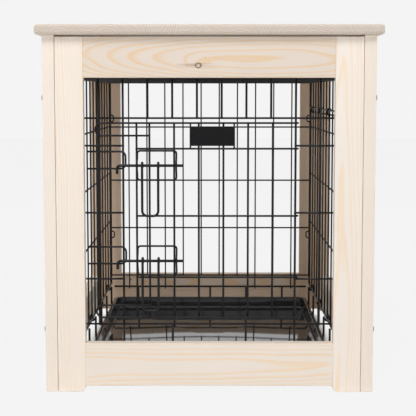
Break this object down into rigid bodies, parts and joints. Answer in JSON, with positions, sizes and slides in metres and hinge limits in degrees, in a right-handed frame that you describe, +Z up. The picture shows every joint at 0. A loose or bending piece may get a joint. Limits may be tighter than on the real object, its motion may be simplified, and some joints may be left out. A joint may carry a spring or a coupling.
{
  "type": "dog crate end table",
  "caption": "Pine end table round a two-part wire dog crate with a hinged front door, two slide bolts, pull handles and a lift-out tray.",
  "frame": {"origin": "on the ground under the middle of the table", "axes": "+X to the right as seen from the doorway, +Y from the doorway to the back, +Z up"},
  "size_m": [0.615, 0.865, 0.658],
  "materials": {
    "pine": "bare sawn and sanded pine",
    "black_wire": "black powder coat",
    "black_tray": "gloss black",
    "black_plate": "black powder coat on sheet",
    "bolt_steel": "zinc-plated"
  },
  "bodies": {
    "table": {"top_board": "pine", "front_left_stile": "pine", "front_right_stile": "pine", "front_top_rail": "pine", "front_bottom_rail": "pine", "back_left_stile": "pine", "back_right_stile": "pine", "back_top_rail": "pine", "back_bottom_rail": "pine", "left_front_post": "pine", "left_rear_post": "pine", "left_top_rail": "pine", "left_bottom_rail": "pine", "right_front_post": "pine", "right_rear_post": "pine", "right_top_rail": "pine", "right_bottom_rail": "pine", "frame_bolts": "bolt_steel", "tray": "black_tray", "crate_base": "black_wire", "base_hooks": "black_wire", "front_panel": "black_wire", "back_panel": "black_wire", "left_panel": "black_wire", "right_panel": "black_wire", "crate_roof": "black_wire", "hinge_loops": "black_wire", "corner_clips": "black_wire", "upper_keeper": "black_wire", "lower_keeper": "black_wire"},
    "front_door": {"front_door": "black_wire", "upper_guard": "black_wire", "lower_guard": "black_wire", "name_plate": "black_plate", "plate_hangers": "black_wire"},
    "upper_bolt": {"upper_bolt": "black_wire"},
    "upper_handle": {"upper_handle": "black_wire"},
    "lower_bolt": {"lower_bolt": "black_wire"},
    "lower_handle": {"lower_handle": "black_wire"}
  },
  "joints": [
    {"name": "door_hinge", "type": "hinge", "parent": "table", "child": "front_door", "pos_m": [0.15489, -0.3958, 0.3], "axis": [0, 0, 1], "range_deg": [0, 135]},
    {"name": "upper_bolt_slide", "type": "slide", "parent": "front_door", "child": "upper_bolt", "axis": [1, 0, 0], "range_m": [0, 0.024]},
    {"name": "upper_handle_swing", "type": "hinge", "parent": "upper_bolt", "child": "upper_handle", "pos_m": [-0.105, -0.4056, 0.409], "axis": [-1, 0, 0], "range_deg": [0, 110]},
    {"name": "lower_bolt_slide", "type": "slide", "parent": "front_door", "child": "lower_bolt", "axis": [1, 0, 0], "range_m": [0, 0.024]},
    {"name": "lower_handle_swing", "type": "hinge", "parent": "lower_bolt", "child": "lower_handle", "pos_m": [-0.105, -0.4056, 0.237], "axis": [-1, 0, 0], "range_deg": [0, 110]}
  ]
}
